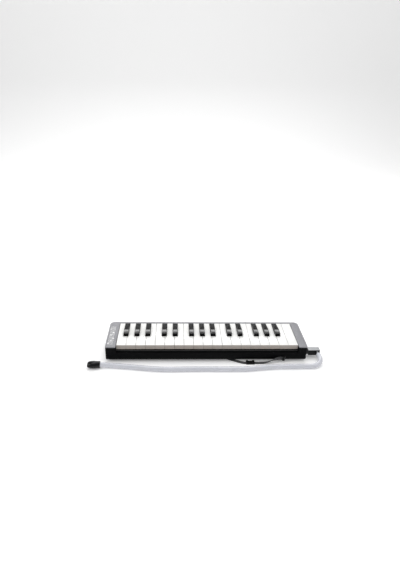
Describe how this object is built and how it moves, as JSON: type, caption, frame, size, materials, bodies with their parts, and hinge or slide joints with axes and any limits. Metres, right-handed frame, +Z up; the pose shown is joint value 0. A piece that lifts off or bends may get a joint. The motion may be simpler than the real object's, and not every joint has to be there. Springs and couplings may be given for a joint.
{
  "type": "melodica",
  "caption": "Wind keyboard: a flat black casing with hinged piano keys over valve pads and reeds, and a plug-in blow hose with a mouthpiece.",
  "frame": {"origin": "on the table, under the middle of the instrument's box without its hose: midway between the ends, and midway between the casing's back and the front of the strap's slack", "axes": "+X from the bass end to the treble end, +Y from the player's side to the back, +Z up"},
  "size_m": [0.476, 0.1345, 0.0425],
  "materials": {
    "black_key_plastic": "gloss",
    "casing_black": "satin",
    "collar_rubber": "matte",
    "cover_grey": "fine sandblasted satin",
    "deck_grey": "matte",
    "elbow_grey": "gloss",
    "felt_dark": "felt",
    "fitting_black": "satin",
    "foot_rubber": "matte",
    "gasket_rubber": "matte",
    "hose_milky": "soft translucent",
    "mouthpiece_black": "gloss",
    "reed_brass": "rolled",
    "rivet_steel": "plain",
    "screw_steel": "plain",
    "shaft_steel": "ground",
    "spring_steel": "drawn wire",
    "strap_webbing": "woven",
    "white_key_plastic": "gloss"
  },
  "bodies": {
    "casing": {"lower_casing": "casing_black", "upper_casing": "casing_black", "top_cover": "cover_grey", "key_guide_frame": "casing_black", "wind_chest_deck": "deck_grey", "chest_gasket": "gasket_rubber", "reed_plate_bass": "reed_brass", "reed_plate_treble": "reed_brass", "reeds": "reed_brass", "reed_rivets": "rivet_steel", "reed_plate_screws": "screw_steel", "key_shaft": "shaft_steel", "key_springs": "spring_steel", "front_stop_felt": "felt_dark", "rear_stop_felt": "felt_dark", "casing_screws": "screw_steel", "rubber_feet": "foot_rubber", "blow_socket": "fitting_black", "hand_strap": "strap_webbing", "strap_buckle": "fitting_black", "strap_anchors": "fitting_black"},
    "drain_valve": {"drain_button": "fitting_black", "drain_seal": "gasket_rubber", "drain_spring": "spring_steel"},
    "hose_set": {"hose_elbow": "elbow_grey", "plug_collar": "collar_rubber", "hose_tube": "hose_milky", "mouthpiece": "mouthpiece_black"},
    "key_01_f": {"key_01_f": "white_key_plastic"},
    "key_02_f_sharp": {"key_02_f_sharp": "black_key_plastic"},
    "key_03_g": {"key_03_g": "white_key_plastic"},
    "key_04_g_sharp": {"key_04_g_sharp": "black_key_plastic"},
    "key_05_a": {"key_05_a": "white_key_plastic"},
    "key_06_a_sharp": {"key_06_a_sharp": "black_key_plastic"},
    "key_07_b": {"key_07_b": "white_key_plastic"},
    "key_08_c": {"key_08_c": "white_key_plastic"},
    "key_09_c_sharp": {"key_09_c_sharp": "black_key_plastic"},
    "key_10_d": {"key_10_d": "white_key_plastic"},
    "key_11_d_sharp": {"key_11_d_sharp": "black_key_plastic"},
    "key_12_e": {"key_12_e": "white_key_plastic"},
    "key_13_f": {"key_13_f": "white_key_plastic"},
    "key_14_f_sharp": {"key_14_f_sharp": "black_key_plastic"},
    "key_15_g": {"key_15_g": "white_key_plastic"},
    "key_16_g_sharp": {"key_16_g_sharp": "black_key_plastic"},
    "key_17_a": {"key_17_a": "white_key_plastic"},
    "key_18_a_sharp": {"key_18_a_sharp": "black_key_plastic"},
    "key_19_b": {"key_19_b": "white_key_plastic"},
    "key_20_c": {"key_20_c": "white_key_plastic"},
    "key_21_c_sharp": {"key_21_c_sharp": "black_key_plastic"},
    "key_22_d": {"key_22_d": "white_key_plastic"},
    "key_23_d_sharp": {"key_23_d_sharp": "black_key_plastic"},
    "key_24_e": {"key_24_e": "white_key_plastic"},
    "key_25_f": {"key_25_f": "white_key_plastic"},
    "key_26_f_sharp": {"key_26_f_sharp": "black_key_plastic"},
    "key_27_g": {"key_27_g": "white_key_plastic"},
    "key_28_g_sharp": {"key_28_g_sharp": "black_key_plastic"},
    "key_29_a": {"key_29_a": "white_key_plastic"},
    "key_30_a_sharp": {"key_30_a_sharp": "black_key_plastic"},
    "key_31_b": {"key_31_b": "white_key_plastic"},
    "key_32_c": {"key_32_c": "white_key_plastic"}
  },
  "joints": [
    {"name": "key_01_f_press", "type": "hinge", "parent": "casing", "child": "key_01_f", "pos_m": [0, 0.028, 0.027], "axis": [1, 0, 0], "range_deg": [0, 3.5], "stiffness_Nm_per_rad": 0.4, "springref_deg": -1.72},
    {"name": "key_02_f_sharp_press", "type": "hinge", "parent": "casing", "child": "key_02_f_sharp", "pos_m": [0, 0.028, 0.027], "axis": [1, 0, 0], "range_deg": [0, 3.5], "stiffness_Nm_per_rad": 0.4, "springref_deg": -1.72},
    {"name": "key_03_g_press", "type": "hinge", "parent": "casing", "child": "key_03_g", "pos_m": [0, 0.028, 0.027], "axis": [1, 0, 0], "range_deg": [0, 3.5], "stiffness_Nm_per_rad": 0.4, "springref_deg": -1.72},
    {"name": "key_04_g_sharp_press", "type": "hinge", "parent": "casing", "child": "key_04_g_sharp", "pos_m": [0, 0.028, 0.027], "axis": [1, 0, 0], "range_deg": [0, 3.5], "stiffness_Nm_per_rad": 0.4, "springref_deg": -1.72},
    {"name": "key_05_a_press", "type": "hinge", "parent": "casing", "child": "key_05_a", "pos_m": [0, 0.028, 0.027], "axis": [1, 0, 0], "range_deg": [0, 3.5], "stiffness_Nm_per_rad": 0.4, "springref_deg": -1.72},
    {"name": "key_06_a_sharp_press", "type": "hinge", "parent": "casing", "child": "key_06_a_sharp", "pos_m": [0, 0.028, 0.027], "axis": [1, 0, 0], "range_deg": [0, 3.5], "stiffness_Nm_per_rad": 0.4, "springref_deg": -1.72},
    {"name": "key_07_b_press", "type": "hinge", "parent": "casing", "child": "key_07_b", "pos_m": [0, 0.028, 0.027], "axis": [1, 0, 0], "range_deg": [0, 3.5], "stiffness_Nm_per_rad": 0.4, "springref_deg": -1.72},
    {"name": "key_08_c_press", "type": "hinge", "parent": "casing", "child": "key_08_c", "pos_m": [0, 0.028, 0.027], "axis": [1, 0, 0], "range_deg": [0, 3.5], "stiffness_Nm_per_rad": 0.4, "springref_deg": -1.72},
    {"name": "key_09_c_sharp_press", "type": "hinge", "parent": "casing", "child": "key_09_c_sharp", "pos_m": [0, 0.028, 0.027], "axis": [1, 0, 0], "range_deg": [0, 3.5], "stiffness_Nm_per_rad": 0.4, "springref_deg": -1.72},
    {"name": "key_10_d_press", "type": "hinge", "parent": "casing", "child": "key_10_d", "pos_m": [0, 0.028, 0.027], "axis": [1, 0, 0], "range_deg": [0, 3.5], "stiffness_Nm_per_rad": 0.4, "springref_deg": -1.72},
    {"name": "key_11_d_sharp_press", "type": "hinge", "parent": "casing", "child": "key_11_d_sharp", "pos_m": [0, 0.028, 0.027], "axis": [1, 0, 0], "range_deg": [0, 3.5], "stiffness_Nm_per_rad": 0.4, "springref_deg": -1.72},
    {"name": "key_12_e_press", "type": "hinge", "parent": "casing", "child": "key_12_e", "pos_m": [0, 0.028, 0.027], "axis": [1, 0, 0], "range_deg": [0, 3.5], "stiffness_Nm_per_rad": 0.4, "springref_deg": -1.72},
    {"name": "key_13_f_press", "type": "hinge", "parent": "casing", "child": "key_13_f", "pos_m": [0, 0.028, 0.027], "axis": [1, 0, 0], "range_deg": [0, 3.5], "stiffness_Nm_per_rad": 0.4, "springref_deg": -1.72},
    {"name": "key_14_f_sharp_press", "type": "hinge", "parent": "casing", "child": "key_14_f_sharp", "pos_m": [0, 0.028, 0.027], "axis": [1, 0, 0], "range_deg": [0, 3.5], "stiffness_Nm_per_rad": 0.4, "springref_deg": -1.72},
    {"name": "key_15_g_press", "type": "hinge", "parent": "casing", "child": "key_15_g", "pos_m": [0, 0.028, 0.027], "axis": [1, 0, 0], "range_deg": [0, 3.5], "stiffness_Nm_per_rad": 0.4, "springref_deg": -1.72},
    {"name": "key_16_g_sharp_press", "type": "hinge", "parent": "casing", "child": "key_16_g_sharp", "pos_m": [0, 0.028, 0.027], "axis": [1, 0, 0], "range_deg": [0, 3.5], "stiffness_Nm_per_rad": 0.4, "springref_deg": -1.72},
    {"name": "key_17_a_press", "type": "hinge", "parent": "casing", "child": "key_17_a", "pos_m": [0, 0.028, 0.027], "axis": [1, 0, 0], "range_deg": [0, 3.5], "stiffness_Nm_per_rad": 0.4, "springref_deg": -1.72},
    {"name": "key_18_a_sharp_press", "type": "hinge", "parent": "casing", "child": "key_18_a_sharp", "pos_m": [0, 0.028, 0.027], "axis": [1, 0, 0], "range_deg": [0, 3.5], "stiffness_Nm_per_rad": 0.4, "springref_deg": -1.72},
    {"name": "key_19_b_press", "type": "hinge", "parent": "casing", "child": "key_19_b", "pos_m": [0, 0.028, 0.027], "axis": [1, 0, 0], "range_deg": [0, 3.5], "stiffness_Nm_per_rad": 0.4, "springref_deg": -1.72},
    {"name": "key_20_c_press", "type": "hinge", "parent": "casing", "child": "key_20_c", "pos_m": [0, 0.028, 0.027], "axis": [1, 0, 0], "range_deg": [0, 3.5], "stiffness_Nm_per_rad": 0.4, "springref_deg": -1.72},
    {"name": "key_21_c_sharp_press", "type": "hinge", "parent": "casing", "child": "key_21_c_sharp", "pos_m": [0, 0.028, 0.027], "axis": [1, 0, 0], "range_deg": [0, 3.5], "stiffness_Nm_per_rad": 0.4, "springref_deg": -1.72},
    {"name": "key_22_d_press", "type": "hinge", "parent": "casing", "child": "key_22_d", "pos_m": [0, 0.028, 0.027], "axis": [1, 0, 0], "range_deg": [0, 3.5], "stiffness_Nm_per_rad": 0.4, "springref_deg": -1.72},
    {"name": "key_23_d_sharp_press", "type": "hinge", "parent": "casing", "child": "key_23_d_sharp", "pos_m": [0, 0.028, 0.027], "axis": [1, 0, 0], "range_deg": [0, 3.5], "stiffness_Nm_per_rad": 0.4, "springref_deg": -1.72},
    {"name": "key_24_e_press", "type": "hinge", "parent": "casing", "child": "key_24_e", "pos_m": [0, 0.028, 0.027], "axis": [1, 0, 0], "range_deg": [0, 3.5], "stiffness_Nm_per_rad": 0.4, "springref_deg": -1.72},
    {"name": "key_25_f_press", "type": "hinge", "parent": "casing", "child": "key_25_f", "pos_m": [0, 0.028, 0.027], "axis": [1, 0, 0], "range_deg": [0, 3.5], "stiffness_Nm_per_rad": 0.4, "springref_deg": -1.72},
    {"name": "key_26_f_sharp_press", "type": "hinge", "parent": "casing", "child": "key_26_f_sharp", "pos_m": [0, 0.028, 0.027], "axis": [1, 0, 0], "range_deg": [0, 3.5], "stiffness_Nm_per_rad": 0.4, "springref_deg": -1.72},
    {"name": "key_27_g_press", "type": "hinge", "parent": "casing", "child": "key_27_g", "pos_m": [0, 0.028, 0.027], "axis": [1, 0, 0], "range_deg": [0, 3.5], "stiffness_Nm_per_rad": 0.4, "springref_deg": -1.72},
    {"name": "key_28_g_sharp_press", "type": "hinge", "parent": "casing", "child": "key_28_g_sharp", "pos_m": [0, 0.028, 0.027], "axis": [1, 0, 0], "range_deg": [0, 3.5], "stiffness_Nm_per_rad": 0.4, "springref_deg": -1.72},
    {"name": "key_29_a_press", "type": "hinge", "parent": "casing", "child": "key_29_a", "pos_m": [0, 0.028, 0.027], "axis": [1, 0, 0], "range_deg": [0, 3.5], "stiffness_Nm_per_rad": 0.4, "springref_deg": -1.72},
    {"name": "key_30_a_sharp_press", "type": "hinge", "parent": "casing", "child": "key_30_a_sharp", "pos_m": [0, 0.028, 0.027], "axis": [1, 0, 0], "range_deg": [0, 3.5], "stiffness_Nm_per_rad": 0.4, "springref_deg": -1.72},
    {"name": "key_31_b_press", "type": "hinge", "parent": "casing", "child": "key_31_b", "pos_m": [0, 0.028, 0.027], "axis": [1, 0, 0], "range_deg": [0, 3.5], "stiffness_Nm_per_rad": 0.4, "springref_deg": -1.72},
    {"name": "key_32_c_press", "type": "hinge", "parent": "casing", "child": "key_32_c", "pos_m": [0, 0.028, 0.027], "axis": [1, 0, 0], "range_deg": [0, 3.5], "stiffness_Nm_per_rad": 0.4, "springref_deg": -1.72},
    {"name": "drain_push", "type": "slide", "parent": "casing", "child": "drain_valve", "axis": [1, 0, 0], "range_m": [0, 0.0015], "stiffness_N_per_m": 600, "springref_m": -0.0005},
    {"name": "hose_unplug", "type": "slide", "parent": "casing", "child": "hose_set", "axis": [1, 0, 0], "range_m": [0, 0.02]}
  ]
}
